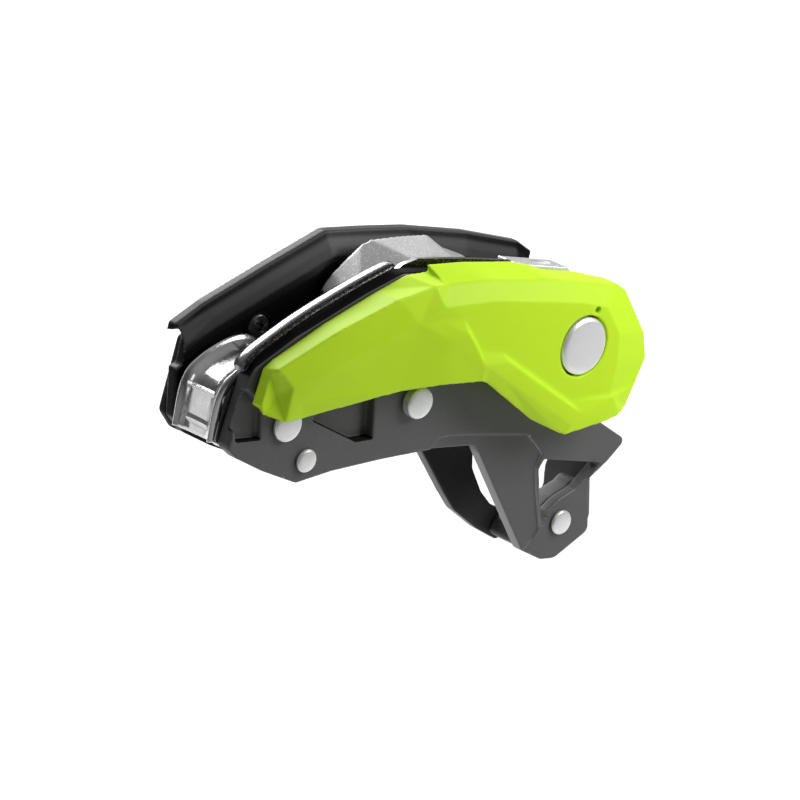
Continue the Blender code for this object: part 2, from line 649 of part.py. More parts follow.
TOOL_HOLE = {"centre": (51.4, 10.1), "radius": 0.8, "y0": -20.0, "y1": -3.0}
RIVET_RELIEF = {"radius": 5.0, "y0": -2.2, "y1": 5.0}
HANDLE_CUT_Y = (-20.0, 5.0)


def handle_shell():
    """The moulded shell as a solid: its flat back, its wall and its facets."""
    bm = bmesh.new()
    back = [bm.verts.new(at(x, HANDLE_BACK_Y, z)) for (x, z), _ in HANDLE_RIM]
    rim = [bm.verts.new(at(x, -height, z)) for _, (x, z, height) in HANDLE_RIM]
    corners = {name: bm.verts.new(at(x, -height, z)) for name, (x, z, height) in HANDLE_CORNERS.items()}
    corners.update(enumerate(rim))
    bm.faces.new(back)
    for i in range(len(rim)):
        bm.faces.new((back[i - 1], back[i], rim[i], rim[i - 1]))
    for facet in HANDLE_FACETS:
        bm.faces.new([corners[name] for name in facet])
    return place("handle_shell", mesh_of(bm, "handle_shell"), "green")


def handle_group():
    shell = handle_shell()
    room = [(x, z) for x, z in rounded(CORE_OUTLINE)]
    cut(
        shell,
        rod("handle_disc_hole", None, AXLE, DISC_R + DISC_CLEARANCE, *HANDLE_CUT_Y, ROUND_SIDES),
        prism("handle_room", None, grown(room, GAP), CORE_FRONT_Y - GAP, HANDLE_CUT_Y[1]),
        rod("handle_spring_room", None, AXLE, **SPRING_ROOM, sides=40),
        rod("handle_tool_hole", None, **TOOL_HOLE, sides=PIN_SIDES),
        rod("handle_rivet_relief", None, GUIDE_RIVETS["upper"][:2], **RIVET_RELIEF, sides=32),
    )
    core = prism("handle_core", "satin", CORE_OUTLINE, CORE_FRONT_Y, HANDLE_BACK_Y - 0.2, pivot=AXLE)
    cut(core, rod("core_bore", None, AXLE, BUSH_R + GAP, *HANDLE_CUT_Y))
    ring("handle_bush", "bronze", AXLE, AXLE_R + GAP, BUSH_R, DISC_Y[1] + GAP, HANDLE_BACK_Y - 0.2)
    coil("handle_return_spring", AXLE, **HANDLE_SPRING)


def grown(outline, by):
    """The outline moved outwards by this much at each corner; it is listed clockwise in x and z."""
    moved = []
    for i, here in enumerate(outline):
        here = Vector(here)
        before = (here - Vector(outline[i - 1])).normalized()
        after = (Vector(outline[(i + 1) % len(outline)]) - here).normalized()
        out = Vector((-before.y, before.x)) + Vector((-after.y, after.x))
        moved.append(tuple(here + out * by / max(1 + before.dot(after), 0.3)))
    return moved


# The thumb latch.

LATCH_PIN = (51.3, 11.7)
LATCH_PIN_R = 0.9
LATCH_PIN_Y = (0.4, 7.4)
LATCH_TRAVEL = 1.8
LATCH_TOP = [(38.6, 20.9), (55.2, 15.2, 1.0), (58.6, 11.4), (57.2, 10.4), (54.4, 12.4), (39.0, 17.9)]
LATCH_BACK_Y = 10.4
LATCH_STEM = [(47.4, 16.6), (55.0, 14.0), (54.6, 10.0), (48.6, 10.8)]
STEM_BACK_Y = 6.3
DIMPLE = (49.6, 7.4, 18.1)
DIMPLE_HALF_SIZE = Vector((4.6, 2.3, 1.5))
LATCH_SLOT_Y = (3.0, 8.0)


def latch_group():
    latch = prism("release_latch", "polished", LATCH_TOP, LINER_Y[0], LATCH_BACK_Y, bevel=0.3)
    join(latch, prism("latch_stem", None, LATCH_STEM, LINER_Y[1] + GAP, STEM_BACK_Y))
    bm = bmesh.new()
    bmesh.ops.create_uvsphere(bm, u_segments=20, v_segments=10, radius=1.0)
    dimple = place("latch_dimple", mesh_of(bm, "latch_dimple"), None, at(*DIMPLE))
    dimple.scale = DIMPLE_HALF_SIZE * MM
    dimple.rotation_euler = (0.0, -LATCH_TILT, 0.0)
    press = Vector((math.sin(LATCH_TILT), -math.cos(LATCH_TILT)))
    side = Vector((-press.y, press.x))
    half = LATCH_PIN_R + GAP
    low, high = -half, LATCH_TRAVEL + half
    slot = []
    for up, across in ((low, -half), (low, half), (high, half), (high, -half)):
        spot = Vector(LATCH_PIN) - press * up + side * across
        slot.append((spot.x, spot.y))
    cut(latch, dimple, prism("latch_slot", None, slot, *LATCH_SLOT_Y))
    rod("latch_pin", "spring", LATCH_PIN, LATCH_PIN_R, *LATCH_PIN_Y, 14)


# The swinging cover.

# The cover's top edge, along the front of its flange, and the ways down its left end.
LIP_LINE = [
    (-46.0, 24.8), (-37.8, 27.5), (-20.4, 31.3), (-2.8, 34.9), (9.0, 32.2), (21.7, 29.0), (39.5, 23.0),
    (55.8, 16.2), (60.2, 12.4),
]
LIP_END = Vector((0.326, 0.945))
FLANGE_OVERHANG = Vector((-1.8, -0.6))  # the flange runs past the cove at its left end
# The lip's section: offset from its line and depth. The first three points are the flange.
LIP_SECTION = [
    (0.0, 21.5), (0.0, SHELL_Y[1]), (-2.2, SHELL_Y[1]), (-2.2, 21.15), (-3.6, 20.75), (-10.7, 20.7),
    (-10.7, 18.3), (-9.3, 18.3), (-8.8, 18.05), (-7.1, 18.3), (-5.4, 18.9), (-3.4, 19.9), (-1.6, 20.9),
]
FLANGE_POINTS = 3
# The axle's retaining ring turns in a seat in the cover plate.
RETAINER_SEAT_R = 6.4
RETAINER_SEAT_Y = 19.6
SCREW_SINK_Y = 19.3
SCREW_END_Y = 23.0
SCREW_PROFILE = [
    (0, 18.2), (SCREW_R - 0.3, 18.2), (SCREW_R, 18.5), (SCREW_R, 19.0), (SHANK_R, 19.0),
    (SHANK_R, SCREW_END_Y), (0, SCREW_END_Y),
]
# The screws' star sockets.
SOCKET_POINTS = 24
SOCKET_R = 1.35
SOCKET_LOBE = 0.35
SOCKET_END_Y = 19.4
PLATE_DROP = -9.1  # the plate's top edge, from the lip's line
SHELL_DROP = -3.9
COVER_OUTLINE = [(-50.0, 5.0, 1.2)] + beside(LIP_LINE, PLATE_DROP, LIP_END)[:-1] + [
    (62, 5, 5), (66, -6, 6), (65.2, -20, 5), (71.5, -31, 1.5), (71.5, -50, 3), (62.5, -56.2, 3),
    (46.5, -56.6, 2), (40.1, -51.6), (33, -44.6), (29.8, -39.2), (24.2, -28.6), (17.5, -16.2, 5),
    (5, -14.7), (-20, -11.3), (-30.4, -10.9, 2), (-39.9, -5), (-47, 0.2),
]
COVER_HOLE = [
    (39.2, -28.6, 1.5), (38.9, -35.4), (41.8, -42.6), (45.0, -47.0, 2), (50, -50.2, 2), (63.5, -50.2, 3),
    (67.6, -46, 2), (67.6, -32, 2), (64, -28.6, 1.5),
]
SHELL_OUTLINE = [(-49.8, 4.9, 1.2), (-43.9, 20.8, 0.6)] + beside(LIP_LINE, SHELL_DROP)[1:] + [
    (61.5, 1.6, 5), (65, -8, 6), (63, -19, 5), (46, -23.5, 5), (32, -23.5), (17, -13.8, 3), (5, -14.4),
    (-20, -11.0), (-30.4, -10.6, 2), (-39.9, -4.8), (-47.2, 0.2),
]


def lip():
    """The cover's flared top edge, with a cove under its flange."""
    rings = carried(LIP_LINE, LIP_SECTION, LIP_END)
    start = []
    for i, (x, z, depth) in enumerate(rings[0]):
        back = Vector((0.0, 0.0)) if i < FLANGE_POINTS else FLANGE_OVERHANG
        start.append((x - back.x, z - back.y, depth))
    return loft("cover_lip", None, [start] + rings[1:])


def cover_group():
    plate = prism("far_side_plate", "anodised", COVER_OUTLINE, *COVER_Y, pivot=AXLE)
    join(plate, lip())
    start, end = THROUGH_COVER
    bore = [(0, start), (BUSH_R + GAP, start), (BUSH_R + GAP, RETAINER_SEAT_Y)]
    bore += [(RETAINER_SEAT_R, RETAINER_SEAT_Y), (RETAINER_SEAT_R, end), (0, end)]
    cutters = [prism("cover_hole", None, COVER_HOLE, start, end), turned("cover_bore", None, AXLE, bore, 32)]
    for key, centre in SCREWS.items():
        cutters.append(rod(f"screw_sink_{key}", None, centre, SCREW_R + GAP, start, SCREW_SINK_Y, 24))
        cutters.append(rod(f"screw_hole_{key}", None, centre, SHANK_R + GAP, start, end, SMALL_SIDES))
    cut(plate, *cutters)
    shell = prism("far_cover_shell", "black", SHELL_OUTLINE, *SHELL_Y, pivot=AXLE, bevel=0.6)
    for key, centre in SCREWS.items():
        hole_y = (COVER_Y[0], SCREW_END_Y + GAP)
        cut(shell, rod(f"shell_hole_{key}", None, centre, SHANK_R + GAP, *hole_y, SMALL_SIDES))
        screw = turned(f"cover_screw_{key}", "screw", centre, SCREW_PROFILE)
        cut(screw, star_socket(key, centre))
    ring("cover_bush", "bronze", AXLE, AXLE_R + GAP, BUSH_R, COVER_Y[0] + 0.1, RETAINER_SEAT_Y - 0.1)


def star_socket(key, centre):
    """A six-lobed driver socket."""
    points = []
    for k in range(SOCKET_POINTS):
        angle = 2 * math.pi * k / SOCKET_POINTS
        radius = SOCKET_R + SOCKET_LOBE * math.cos(6 * angle)
        points.append((centre[0] + radius * math.cos(angle), centre[1] + radius * math.sin(angle)))
    return prism(f"socket_{key}", None, points, THROUGH_COVER[0], SOCKET_END_Y)


clear_scene()
PARTS = new_collection("belay_device")
CUTTERS = new_collection("cutters", hidden=True)
near_side()
rope_guide()
edge_liner()
wear_plate()
brake_shoe()
crossbar()
axle()
cam_group()
handle_group()
latch_group()
cover_group()
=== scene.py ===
"""The belay device's looks: finishes, fine surfaces, light and camera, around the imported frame."""

import math

import bmesh
import bpy
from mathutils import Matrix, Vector


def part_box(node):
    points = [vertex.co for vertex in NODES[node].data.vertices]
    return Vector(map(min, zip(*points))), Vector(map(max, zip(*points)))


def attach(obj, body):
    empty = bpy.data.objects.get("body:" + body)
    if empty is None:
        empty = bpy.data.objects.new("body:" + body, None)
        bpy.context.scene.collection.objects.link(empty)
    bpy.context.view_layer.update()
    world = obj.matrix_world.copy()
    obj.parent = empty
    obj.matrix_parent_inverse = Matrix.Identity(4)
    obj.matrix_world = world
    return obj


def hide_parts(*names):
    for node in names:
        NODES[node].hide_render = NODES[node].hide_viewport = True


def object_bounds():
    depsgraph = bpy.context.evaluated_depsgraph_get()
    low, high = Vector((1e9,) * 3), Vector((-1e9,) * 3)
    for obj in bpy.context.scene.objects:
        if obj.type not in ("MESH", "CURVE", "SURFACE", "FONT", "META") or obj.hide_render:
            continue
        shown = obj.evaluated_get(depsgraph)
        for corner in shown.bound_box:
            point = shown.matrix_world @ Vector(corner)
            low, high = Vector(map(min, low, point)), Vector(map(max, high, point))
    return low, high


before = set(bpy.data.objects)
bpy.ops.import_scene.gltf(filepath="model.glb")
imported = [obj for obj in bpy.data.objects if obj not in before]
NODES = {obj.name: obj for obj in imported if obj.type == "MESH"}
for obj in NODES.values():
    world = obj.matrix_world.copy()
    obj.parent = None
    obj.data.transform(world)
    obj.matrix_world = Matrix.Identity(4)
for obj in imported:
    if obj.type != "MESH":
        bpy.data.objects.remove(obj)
CAD_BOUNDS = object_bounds()
MM = 0.001

# The camera: a long lens, a metre from the device, looking down on its near side.
LENS_MM = 202.5
SENSOR_MM = 36.0
NEAREST = 0.05  # what is nearer than this isn't drawn
CAMERA_DISTANCE = 1.0
CAMERA_AZIMUTH = math.radians(-41.8)
CAMERA_ELEVATION = math.radians(24.6)
CAMERA_TARGET = Vector((-0.01039, -0.00665, 0.01084))

FLOOR_DROP = 0.12  # the floor lies this far below the device's lowest point
FLOOR_SIZE = 8.0


# Surfaces. The frame's solids are faceted and sharp: these modifiers round and smooth them where they are.

WELD_REACH = 1e-6
CREASE_DEGREES = 35.0  # a sharper turn than this between two faces is an edge


def weld(obj):
    modifier = obj.modifiers.new("weld", "WELD")
    modifier.merge_threshold = WELD_REACH


def rounded_skin(obj, grid, passes):
    """Rebuilds a solid's skin on a fine grid, in mm, and eases it, which rounds every edge and crease."""
    weld(obj)
    skin = obj.modifiers.new("skin", "REMESH")
    skin.mode = "VOXEL"
    skin.voxel_size = grid * MM
    skin.use_smooth_shade = True
    ease = obj.modifiers.new("ease", "SMOOTH")
    ease.factor = 0.5
    ease.iterations = passes


def rounded_edges(obj, width):
    """Bevels a solid's edges by this width, in mm, and shades it smooth between them."""
    weld(obj)
    crease = math.radians(CREASE_DEGREES)
    bevel = obj.modifiers.new("bevel", "BEVEL")
    bevel.width = width * MM
    bevel.segments = 2
    bevel.limit_method = "ANGLE"
    bevel.angle_limit = crease
    obj.data.shade_smooth()
    obj.data.set_sharp_from_angle(angle=crease)
    weights = obj.modifiers.new("weights", "WEIGHTED_NORMAL")
    weights.keep_sharp = True


# Finishes. Colours are linear red, green and blue.

# How far a surface has turned towards an axis where a colour starts, and where it is full: TILTED for the
# painted highlight on upward-tilted faces, LEVEL for the lighter speckle on faces that face right up, SHADED
# for the painted shade on upward faces, SIDEWAYS for the painted light on leftward faces, and BEAD_FLANK for
# the painted shade on the bead's forward face.
TILTED = (0.36, 0.50)
LEVEL = (0.80, 0.92)
SHADED = (0.25, 0.6)
SIDEWAYS = (0.45, 0.75)
BEAD_FLANK = (0.0, 0.40)
# How pointed an edge is where it starts to be worn, and where it is bare.
WORN_EDGE = (0.53, 0.60)
WORN_STEEL = (0.51, 0.54)
WORN_PLASTIC = (0.51, 0.56)
EDGE_SHINE = (0.92, 0.92, 0.93)  # bare steel's edges
CLOUD_SIZE = 14.0  # mm, of the slow shade in dyed metal
SPARKLE_GAIN = 1.9  # how much lighter a speck is than the metal round it


class Finish:
    """A material under construction: a Principled shader and the nodes that drive it."""

    def __init__(self, name):
        self.material = bpy.data.materials.new(name)
        self.material.use_nodes = True
        self.tree = self.material.node_tree
        self.shader = self.tree.nodes["Principled BSDF"]
        self.where = self.node("TexCoord").outputs["Object"]

    def node(self, kind):
        return self.tree.nodes.new("ShaderNode" + kind)

    def link(self, output, target):
        self.tree.links.new(output, target)

    def noise(self, size, detail=3.0, stretch=None):
        """A noise from 0 to 1 whose lumps are about this many mm across."""
        made = self.node("TexNoise")
        made.inputs["Scale"].default_value = 1 / (size * MM)
        made.inputs["Detail"].default_value = detail
        source = self.where
        if stretch:
            mapping = self.node("Mapping")
            mapping.inputs["Scale"].default_value = stretch
            self.link(source, mapping.inputs["Vector"])
            source = mapping.outputs["Vector"]
        self.link(source, made.inputs["Vector"])
        return made.outputs["Fac"]

    def edges(self, low, high):
        """From 0 on the flats to 1 on the edges that stand out."""
        return self.span(self.node("NewGeometry").outputs["Pointiness"], 0.0, 1.0, low, high)

    def facing(self, axis, sign, low, high):
        """From 0 to 1 as the surface turns to face along an axis of the object."""
        parts = self.node("SeparateXYZ")
        self.link(self.node("TexCoord").outputs["Normal"], parts.inputs["Vector"])
        return self.span(parts.outputs[axis], 0.0, 1.0, sign * low, sign * high)

    def above(self, height, sign):
        """From 0 to 1 as the surface passes a height, upwards or, with a negative sign, downwards."""
        parts = self.node("SeparateXYZ")
        self.link(self.where, parts.inputs["Vector"])
        return self.span(parts.outputs["Z"], 0.0, 1.0, height - sign * MM, height + sign * MM)

    def combine(self, operation, first, second):
        made = self.node("Math")
        made.operation = operation
        self.link(first, made.inputs[0])
        self.link(second, made.inputs[1])
        return made.outputs[0]

    def span(self, value, low, high, start=0.25, end=0.75):
        made = self.node("MapRange")
        for name, number in (("From Min", start), ("From Max", end), ("To Min", low), ("To Max", high)):
            made.inputs[name].default_value = number
        self.link(value, made.inputs["Value"])
        return made.outputs["Result"]

    def blend(self, share, first, second):
        """A colour between two colours or colour outputs."""
        made = self.node("Mix")
        made.data_type = "RGBA"
        self.link(share, made.inputs["Factor"])
        for socket, colour in ((made.inputs[6], first), (made.inputs[7], second)):
            if isinstance(colour, tuple):
                socket.default_value = (*colour, 1.0)
            else:
                self.link(colour, socket)
        return made.outputs[2]

    def bump(self, value, depth, under=None):
        """Raises and sinks the surface by a value from 0 to 1 times this depth, in mm."""
        made = self.node("Bump")
        made.inputs["Distance"].default_value = depth * MM
        self.link(value, made.inputs["Height"])
        if under:
            self.link(under, made.inputs["Normal"])
        return made.outputs["Normal"]

    def constant(self, socket, value):
        self.shader.inputs[socket].default_value = value

    def drive(self, socket, output):
        self.link(output, self.shader.inputs[socket])


def anodised(
    name, dark, light, worn, metallic, rough, grain=0.22, depth=0.012, gloss=0.3, sparkle=0.5,
    painted_highlight=None, top=None, painted_shade=None, side=None, low=None,
):
    """A matt blasted and dyed metal: fine speckle, slow shade, and edges worn lighter.

    slope is the colour of faces that tilt upwards, a painted highlight, and top the lighter speckle of those
    that face right up.
    seam is the colour of upward faces above WAIST, a painted shade; side that of leftward faces below it,
    painted light;
    and low that of the rest below it, a lighter colour painted as light on the legs. The speckle's grain and
    the bump's depth are in mm.
    """
    made = Finish(name)
    speckle = made.noise(grain, 2.0)
    colour = made.blend(made.noise(CLOUD_SIZE), dark, light)
    speck = tuple(SPARKLE_GAIN * c for c in light)
    colour = made.blend(made.span(speckle, 0.0, sparkle, 0.55, 0.8), colour, speck)
    roughness = made.span(speckle, *rough)
    # Faces below WAIST turn lighter: painted light on the legs.
    if low:
        colour = made.blend(made.above(WAIST, -1), colour, low)
    # Upward-tilted faces turn lighter: a painted highlight in the cove.
    if painted_highlight:
        colour = made.blend(made.facing("Z", 1, *TILTED), colour, painted_highlight)
    # Faces that face right up get a lighter speckle.
    if top:
        lighter_tone = made.blend(made.span(speckle, 0.0, 1.0, 0.4, 0.6), colour, top)
        colour = made.blend(made.facing("Z", 1, *LEVEL), colour, lighter_tone)
    colour = made.blend(made.edges(*WORN_EDGE), colour, worn)
    # Leftward faces below WAIST turn lighter: painted light.
    if side:
        share = made.combine("MULTIPLY", made.above(WAIST, -1), made.facing("X", -1, *SIDEWAYS))
        colour = made.blend(share, colour, side)
    # Upward faces above WAIST turn near black and rough: painted shade on the strip under the bead and in the
    # pockets.
    if painted_shade:
        share = made.combine("MULTIPLY", made.above(WAIST, 1), made.facing("Z", 1, *SHADED))
        colour = made.blend(share, colour, painted_shade)
        roughness = made.combine("MAXIMUM", roughness, share)
    made.drive("Base Color", colour)
    made.drive("Roughness", roughness)
    made.drive("Normal", made.bump(speckle, depth))
    made.constant("Metallic", metallic)
    made.constant("Specular IOR Level", gloss)
    return made.material


def bead_steel():
    """The bead's polished crown over a darker, sparkling forward face: a painted shade of its dark
    reflection.
    """
    made = Finish("bead_steel")
    sparkle = made.noise(0.22, 2.0)
    specks = made.span(sparkle, 0.0, 1.0, 0.5, 0.75)
    # The forward face is painted dark with light specks, a painted shade of its reflection; the crown stays
    # lighter.
    painted_shade_flank = made.blend(specks, (0.012, 0.012, 0.012), (0.34, 0.34, 0.35))
    low = made.facing("Y", -1, *BEAD_FLANK)
    made.drive("Base Color", made.blend(low, (0.42, 0.42, 0.425), painted_shade_flank))
    made.drive("Roughness", made.span(low, 0.20, 0.34, 0.0, 1.0))
    made.drive("Normal", made.bump(sparkle, 0.006))
    made.constant("Metallic", 1.0)
    return made.material


def steel(name, dark, light, rough, brush, depth=0.002, stretch=None, metallic=1.0):
    """Bare steel: cloudy polish, fine scratches and brighter edges."""
    made = Finish(name)
    cloud = made.noise(4.0, 4.0)
    scratches = made.noise(brush, 2.0, stretch)
    colour = made.blend(made.span(cloud, 0.0, 1.0, 0.35, 0.65), dark, light)
    made.drive("Base Color", made.blend(made.edges(*WORN_STEEL), colour, EDGE_SHINE))
    made.drive("Roughness", made.span(scratches, *rough))
    made.drive("Normal", made.bump(scratches, depth))
    made.constant("Metallic", metallic)
    return made.material


def moulded(name, dark, light, lighter_tone, rough, grain=0.18, depth=0.006):
    """Moulded plastic: a fine spark-eroded grain, faint flow marks and worn edges."""
    made = Finish(name)
    grains = made.noise(grain, 2.0)
    flow = made.noise(9.0, 2.0, (1.0, 1.0, 2.5))
    colour = made.blend(made.span(flow, 0.0, 1.0, 0.3, 0.7), dark, light)
    made.drive("Base Color", made.blend(made.edges(*WORN_PLASTIC), colour, lighter_tone))
    made.drive("Roughness", made.span(grains, *rough))
    made.drive("Normal", made.bump(grains, depth))
    made.constant("Specular IOR Level", 0.2)
    return made.material


WAIST = -10 * MM  # the height where the legs start

MATERIALS = {
    # The near plate: seam is painted shade on upward faces above WAIST, and side is painted light on leftward
    # faces below it.
    "anodised": anodised(
        "anodised_dark", (0.104, 0.104, 0.106), (0.120, 0.120, 0.122), (0.30, 0.30, 0.31), 0.25, (0.42, 0.52),
        painted_shade=(0.004, 0.004, 0.004), side=(0.30, 0.30, 0.31),
    ),
    "bar": anodised(
        "anodised_bar", (0.070, 0.070, 0.072), (0.085, 0.085, 0.087), (0.30, 0.30, 0.31), 0.25, (0.42, 0.52),
    ),
    # The far plate: slope is a painted highlight on the cove's upward-tilted faces, side is painted light on
    # leftward faces below WAIST, and low is a lighter colour below it, painted light on the legs.
    "cast": anodised(
        "cast_dark", (0.003, 0.003, 0.0031), (0.005, 0.005, 0.0052), (0.09, 0.09, 0.093), 0.0, (0.24, 0.34),
        grain=0.3, depth=0.02, gloss=0.08, painted_highlight=(0.075, 0.075, 0.077), top=(0.07, 0.07, 0.072),
        side=(0.18, 0.18, 0.185), low=(0.045, 0.045, 0.0465),
    ),
    "shell": anodised(
        "shell_black", (0.010, 0.010, 0.0105), (0.015, 0.015, 0.0155), (0.08, 0.08, 0.08), 0.0, (0.42, 0.56),
        grain=0.3, depth=0.02, gloss=0.15,
    ),
    "polished": steel(
        "polished_steel", (0.66, 0.66, 0.67), (0.76, 0.76, 0.77), (0.16, 0.27),
        brush=0.35, depth=0.004, stretch=(1.0, 1.0, 0.15),
    ),
    "core": steel("core_steel", (0.46, 0.46, 0.47), (0.56, 0.56, 0.57), (0.30, 0.42), brush=0.2, depth=0.003),
    "bright": steel(
        "bright_steel", (0.70, 0.70, 0.71), (0.80, 0.80, 0.81), (0.24, 0.34), brush=0.2, metallic=0.6,
    ),
    "bead": bead_steel(),
    "satin": steel(
        "satin_steel", (0.84, 0.84, 0.85), (0.92, 0.92, 0.93), (0.26, 0.36),
        brush=0.15, depth=0.003, metallic=0.6,
    ),
    "blasted": anodised(
        "blasted_steel", (0.40, 0.40, 0.405), (0.64, 0.64, 0.65), (0.85, 0.85, 0.86), 0.75, (0.34, 0.48),
        grain=0.25, depth=0.04, sparkle=1.0,
    ),
    "green": moulded(
        "green_plastic", (0.52, 0.80, 0.016), (0.53, 0.815, 0.018), (0.56, 0.85, 0.03), (0.44, 0.54),
    ),
    "spring": steel("spring_steel", (0.30, 0.30, 0.32), (0.42, 0.42, 0.44), (0.24, 0.36), brush=0.3),
    "bronze": steel("bronze", (0.42, 0.27, 0.12), (0.50, 0.33, 0.16), (0.30, 0.42), brush=0.3),
    "screw": anodised(
        "screw_black", (0.09, 0.09, 0.092), (0.15, 0.15, 0.153), (0.6, 0.6, 0.6), 0.8, (0.25, 0.38),
        grain=0.2, depth=0.01,
    ),
}

# Each node's finish.
NODE_FINISH = {
    "anodised": ("near_side_plate",),
    "bar": ("crossbar",),
    "cast": ("far_side_plate",),
    "shell": ("far_cover_shell",),
    "polished": ("rope_guide", "edge_liner", "brake_shoe"),
    "bead": ("inner_wear_plate",),
    "bright": ("release_latch",),
    "core": ("handle_core",),
    "satin": ("main_axle", "guide_rivet_upper", "guide_rivet_lower", "shoe_rivet", "crossbar_rivet"),
    "blasted": ("cam",),
    "green": ("handle_shell",),
    "spring": (
        "cam_return_spring", "handle_return_spring", "cam_stop_pin", "latch_pin", "axle_retaining_ring",
    ),
    "bronze": ("cam_bush", "handle_bush", "cover_bush", "cam_washer", "cover_washer"),
    "screw": ("cover_screw_left", "cover_screw_right", "cover_screw_lower"),
}
# The nodes whose skin is rebuilt: grid in mm, and passes of easing.
SKINS = {
    "handle_shell": (0.26, 12),
    "near_side_plate": (0.24, 5),
    "crossbar": (0.35, 4),
    "far_side_plate": (0.32, 4),
    "far_cover_shell": (0.4, 4),
    "rope_guide": (0.25, 8),
    "cam": (0.35, 5),
    "release_latch": (0.2, 6),
}
EDGE_WIDTH = 0.15

for finish, names in NODE_FINISH.items():
    for name in names:
        node = NODES[name]
        node.data.materials.clear()
        node.data.materials.append(MATERIALS[finish])
        if name in SKINS:
            rounded_skin(node, *SKINS[name])
        else:
            rounded_edges(node, EDGE_WIDTH)


# Finer pieces over the frame's coarse ones. Their lines are in mm, in x and z, from a node's lowest corner.

# The rope guide's bearing surface, from the foot of its nose over its crest to its inner end.
GUIDE_LINE = [(1.3, 13.2), (4.0, 22.8), (8.1, 26.0), (15.7, 27.7), (20.9, 26.7), (24.5, 22.4), (27.7, 13.8)]
GUIDE_STEPS = 40
GUIDE_COLUMNS = 56
GUIDE_WALL = 0.5
# The trough: its width and the rims' places are shares of the guide's half width, and the lifts are in mm.
TROUGH = 0.82
TROUGH_LIFT = (0.15, 1.5)  # over the line, in its middle and at its sides
TROUGH_POWER = 4  # the higher, the flatter its floor
RIM_LIFT = 0.6
RIM_PLACE = 0.88
RIM_SPREAD = 0.06
RIM_OUTSIDE = 0.92  # from here the surface turns down to the cheeks
RIBS = (0.045, 0.165)  # where the two ribs cross the nose, as shares of the line
RIB_LIFT = 0.5
RIB_SPREAD = 0.008
RIB_REACH = 0.5
RIB_END = 0.05

# The bead along the near plate's edge.
LINER_LINE = [
    (0.1, 1.6), (1.3, 3.4), (3.5, 5.0), (6.7, 6.3), (16.6, 9.4), (27.6, 11.9), (36.6, 13.6), (44.4, 14.7),
]
LINER_STEPS = 10
BEAD_SIDES = 28
BEAD_HALF_HEIGHT = 1.0
BEAD_HALF_DEPTH = 2.1
# How full the bead is at its lower and upper end, and how fast it fills from there.
BEAD_LOWER = 0.5
BEAD_UPPER = 0.75
BEAD_FILL = 0.12


def smooth_line(points, steps):
    """A Catmull-Rom curve through these points, with this many steps from one to the next."""
    ends = [Vector(points[0]) * 2 - Vector(points[1])] + [Vector(p) for p in points]
    ends.append(ends[-1] * 2 - ends[-2])
    line = []
    for a, b, c, d in zip(ends, ends[1:], ends[2:], ends[3:]):
        for k in range(steps):
            t = k / steps
            bend = (a * 2 - b * 5 + c * 4 - d) * t * t + (b * 3 - a - c * 3 + d) * t ** 3
            line.append((b * 2 + (c - a) * t + bend) / 2)
    line.append(ends[-2])
    return line


def piece_of(bm, name):
    bmesh.ops.recalc_face_normals(bm, faces=bm.faces)
    mesh = bpy.data.meshes.new(name)
    bm.to_mesh(mesh)
    bm.free()
    mesh.shade_smooth()
    obj = bpy.data.objects.new(name, mesh)
    bpy.context.scene.collection.objects.link(obj)
    return obj


def bell(value, middle, width):
    return math.exp(-(((value - middle) / width) ** 2))


def guide_lift(along, across):
    """How far the bearing surface stands over its line, in mm: a trough between two rims, and the ribs."""
    side = abs(across)
    middle, edge = TROUGH_LIFT
    lift = middle + (edge - middle) * min(1.0, side / TROUGH) ** TROUGH_POWER
    turned = max(0.0, (side - RIM_OUTSIDE) / (1.0 - RIM_OUTSIDE))
    lift += RIM_LIFT * bell(side, RIM_PLACE, RIM_SPREAD) - edge * turned ** 2
    flat = 1.0 if side < RIB_REACH else bell(side, RIB_REACH, RIB_END)
    return lift + flat * sum(RIB_LIFT * bell(along, place, RIB_SPREAD) for place in RIBS)


def guide_face():
    """The rope guide's polished bearing surface."""
    low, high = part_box("rope_guide")
    line = smooth_line(GUIDE_LINE, GUIDE_STEPS)
    rows, columns = len(line), GUIDE_COLUMNS
    bm = bmesh.new()
    grid = []
    for i, spot in enumerate(line):
        run = (line[min(i + 1, rows - 1)] - line[max(i - 1, 0)]).normalized()
        out = Vector((-run.y, run.x))
        row = []
        for k in range(columns + 1):
            across = 2 * k / columns - 1
            lifted = spot + out * guide_lift(i / (rows - 1), across)
            depth = (low.y + high.y) / 2 + across * (high.y - low.y) / 2
            row.append(bm.verts.new((low.x + lifted.x * MM, depth, low.z + lifted.y * MM)))
        grid.append(row)
    for upper, lower in zip(grid, grid[1:]):
        for k in range(columns):
            bm.faces.new((upper[k], upper[k + 1], lower[k + 1], lower[k]))
    obj = piece_of(bm, "guide_face")
    wall = obj.modifiers.new("wall", "SOLIDIFY")
    wall.thickness = GUIDE_WALL * MM
    wall.offset = -1.0
    return obj


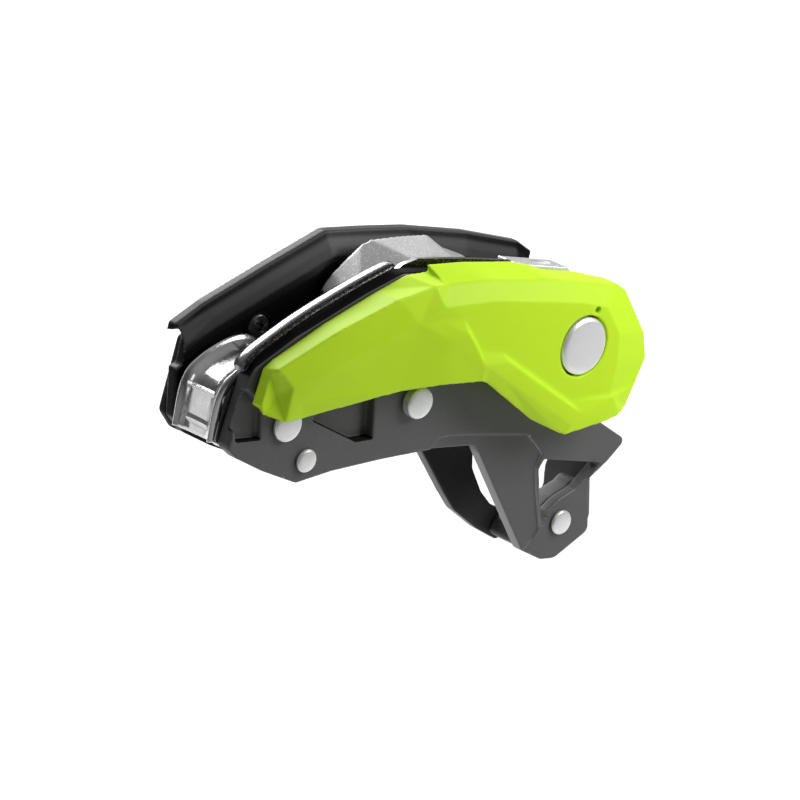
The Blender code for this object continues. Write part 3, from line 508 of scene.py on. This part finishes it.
def liner_bead():
    """The polished bead along the near plate's top edge, flat oval in section."""
    low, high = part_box("edge_liner")
    line = smooth_line(LINER_LINE, LINER_STEPS)
    last = len(line) - 1
    bm = bmesh.new()
    rings = []
    for i, spot in enumerate(line):
        run = (line[min(i + 1, last)] - line[max(i - 1, 0)]).normalized()
        out = Vector((-run.y, run.x))
        full = min(1.0, BEAD_LOWER + BEAD_FILL * i, BEAD_UPPER + BEAD_FILL * (last - i))
        ring = []
        for k in range(BEAD_SIDES):
            angle = 2 * math.pi * k / BEAD_SIDES
            lifted = spot + out * (BEAD_HALF_HEIGHT * math.sin(angle) * full - BEAD_HALF_HEIGHT)
            depth = low.y + (BEAD_HALF_DEPTH * (1 + math.cos(angle) * full)) * MM
            ring.append(bm.verts.new((low.x + lifted.x * MM, depth, low.z + lifted.y * MM)))
        rings.append(ring)
    for first, second in zip(rings, rings[1:]):
        for k in range(BEAD_SIDES):
            bm.faces.new((first[k - 1], first[k], second[k], second[k - 1]))
    bm.faces.new(rings[0])
    bm.faces.new(rings[-1])
    return piece_of(bm, "liner_bead")


face = guide_face()
bead = liner_bead()
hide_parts("edge_liner")
for made, finish in ((face, "polished"), (bead, "bead")):
    made.data.materials.append(MATERIALS[finish])
    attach(made, "frame")


# The floor, the light and the camera.

HUB = Vector((0.035, -0.02, 0.01))  # the handle's broad end, at which the main light stands
KEY_WAY = Vector((0.58, -0.62, 0.53))
KEY_DISTANCE = 0.24
PANEL_WAY = Vector((0.606, 0.678, 0.416))
PANEL_DISTANCE = 0.9
# Each light: name, place, width and height, power in W, and what it is turned to.
LIGHTS = [
    ("key_softbox", HUB + KEY_WAY * KEY_DISTANCE, (0.16, 0.16), 0.68, HUB),
    ("back_softbox", (0.22, 0.75, 0.55), (0.66, 0.5), 10.6, (0.26, 0.47, -0.17)),
    ("back_panel", CAMERA_TARGET + PANEL_WAY * PANEL_DISTANCE, (0.7, 0.5), 1.4, CAMERA_TARGET),
    ("left_strip", (-0.60, -0.05, 0.30), (0.10, 0.5), 0.30, CAMERA_TARGET),
    ("nose_card", (-0.55, 0.45, 0.03), (0.45, 0.25), 0.26, (-0.05, 0.0, 0.0)),
]
# The room's brightness, from straight down to straight up.
ROOM = ((0.0, 0.05), (0.35, 0.07), (1.0, 0.30))


def area_light(name, place, size, power, aim):
    data = bpy.data.lights.new(name, "AREA")
    data.shape = "RECTANGLE"
    data.size, data.size_y = size
    data.energy = power
    obj = bpy.data.objects.new(name, data)
    obj.location = place
    obj.rotation_euler = (Vector(aim) - Vector(place)).to_track_quat("-Z", "Y").to_euler()
    bpy.context.scene.collection.objects.link(obj)


def floor():
    bpy.ops.mesh.primitive_plane_add(size=FLOOR_SIZE, location=(0.0, 0.0, CAD_BOUNDS[0].z - FLOOR_DROP))
    plane = bpy.context.object
    plane.name = "floor"
    light = (0.82, 0.82, 0.82)
    plane.data.materials.append(
        moulded("floor_white", (0.80, 0.80, 0.80), light, light, (0.6, 0.7), grain=3.0, depth=0.01)
    )


def studio():
    """A dim room with a bright ceiling, and the lights round the device."""
    world = bpy.data.worlds.new("studio")
    world.use_nodes = True
    nodes, links = world.node_tree.nodes, world.node_tree.links
    way = nodes.new("ShaderNodeSeparateXYZ")
    links.new(nodes.new("ShaderNodeTexCoord").outputs["Generated"], way.inputs["Vector"])
    height = nodes.new("ShaderNodeValToRGB")
    steps = height.color_ramp.elements
    steps.new(ROOM[1][0])
    for step, (place, grey) in zip(steps, ROOM):
        step.position, step.color = place, (grey, grey, grey, 1.0)
    links.new(way.outputs["Z"], height.inputs["Fac"])
    links.new(height.outputs["Color"], nodes["Background"].inputs["Color"])
    bpy.context.scene.world = world
    for light in LIGHTS:
        area_light(*light)
    bpy.context.scene.view_settings.view_transform = "Standard"


def camera():
    horizontal = math.cos(CAMERA_ELEVATION)
    back = Vector((
        math.sin(CAMERA_AZIMUTH) * horizontal,
        -math.cos(CAMERA_AZIMUTH) * horizontal,
        math.sin(CAMERA_ELEVATION),
    ))
    data = bpy.data.cameras.new("camera")
    data.lens = LENS_MM
    data.sensor_width = SENSOR_MM
    data.clip_start = NEAREST
    obj = bpy.data.objects.new("camera", data)
    obj.location = CAMERA_TARGET + back * CAMERA_DISTANCE
    obj.rotation_euler = (-back).to_track_quat("-Z", "Y").to_euler()
    bpy.context.scene.collection.objects.link(obj)
    bpy.context.scene.camera = obj


floor()
studio()
camera()
